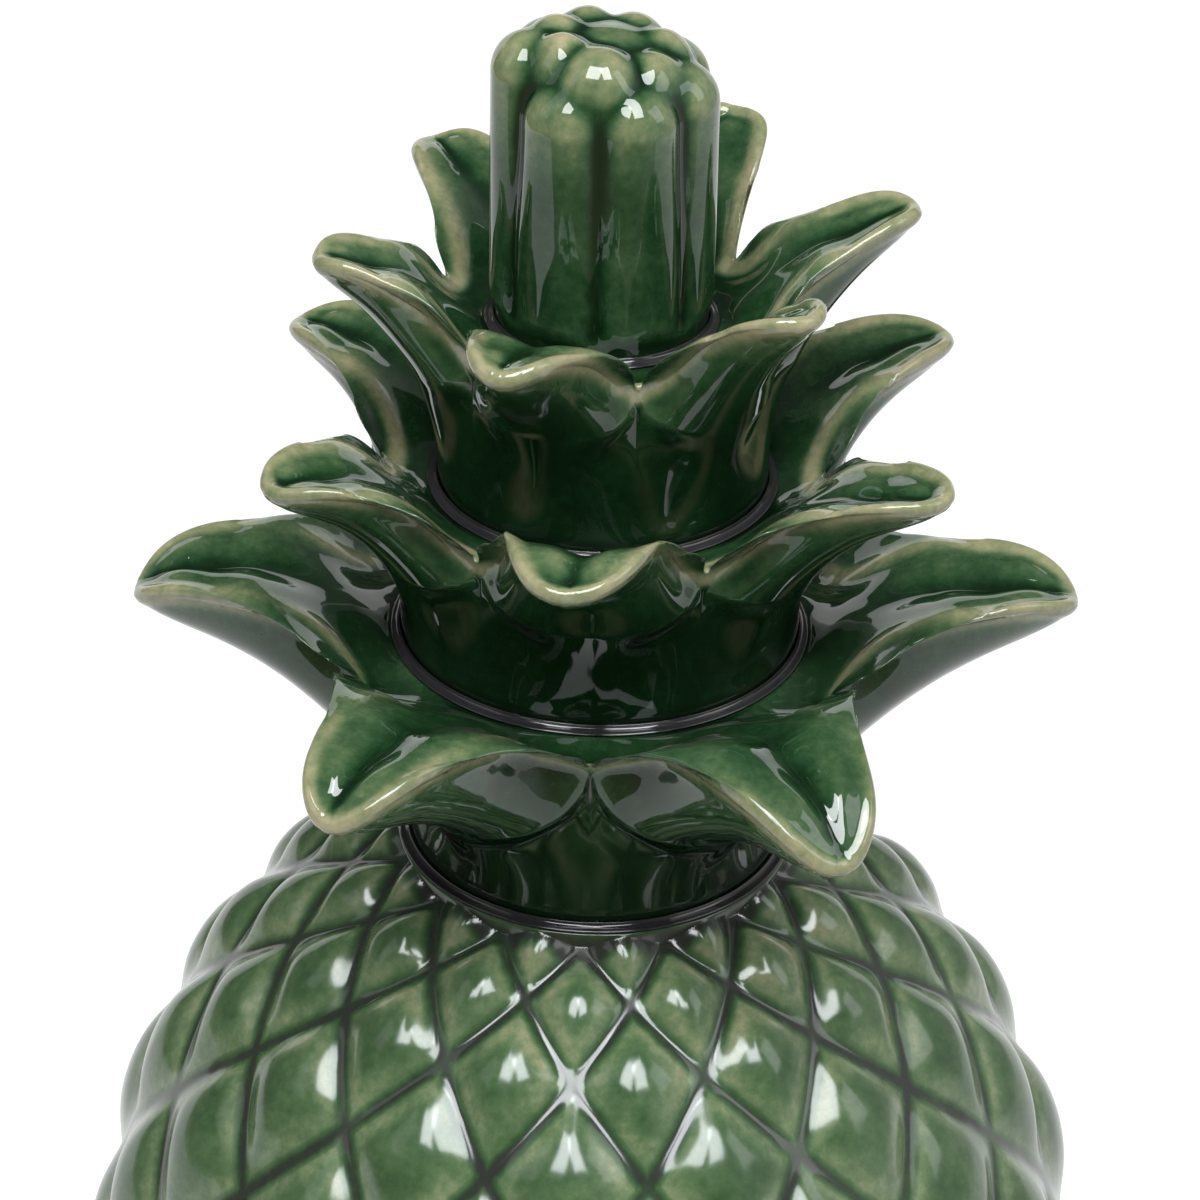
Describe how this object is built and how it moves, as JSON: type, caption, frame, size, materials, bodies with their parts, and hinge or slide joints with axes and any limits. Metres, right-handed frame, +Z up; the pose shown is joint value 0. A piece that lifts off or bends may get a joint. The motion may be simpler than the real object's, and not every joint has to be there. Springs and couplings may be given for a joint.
{
  "type": "ceramic pineapple ornament",
  "caption": "Free-standing glazed pineapple: a hollow fruit quilted in diamonds, under tiers of spreading leaves and a closed leaf bud.",
  "frame": {"origin": "on the table, under the middle of the fruit", "axes": "+Z up along the fruit's axis to the bud, -Y towards the front"},
  "size_m": [0.25, 0.25, 0.4626],
  "materials": {
    "fruit_glaze": "high-gloss copper-green glaze over pale earthenware, thin and tan on the edges of the diamonds, nearly black in the grooves",
    "leaf_glaze": "high-gloss deep copper-green glaze over pale earthenware, breaking to tan on every rim",
    "pooled_glaze": "thick glaze pooled in the joints, nearly black with a dull metallic sheen"
  },
  "bodies": {
    "root": {"fruit": "fruit_glaze", "lower_leaf_tier": "leaf_glaze", "middle_leaf_tier": "leaf_glaze", "upper_leaf_tier": "leaf_glaze", "leaf_bud": "leaf_glaze", "neck_luting_ring": "pooled_glaze", "middle_luting_ring": "pooled_glaze", "upper_luting_ring": "pooled_glaze", "bud_luting_ring": "pooled_glaze"}
  },
  "joints": []
}
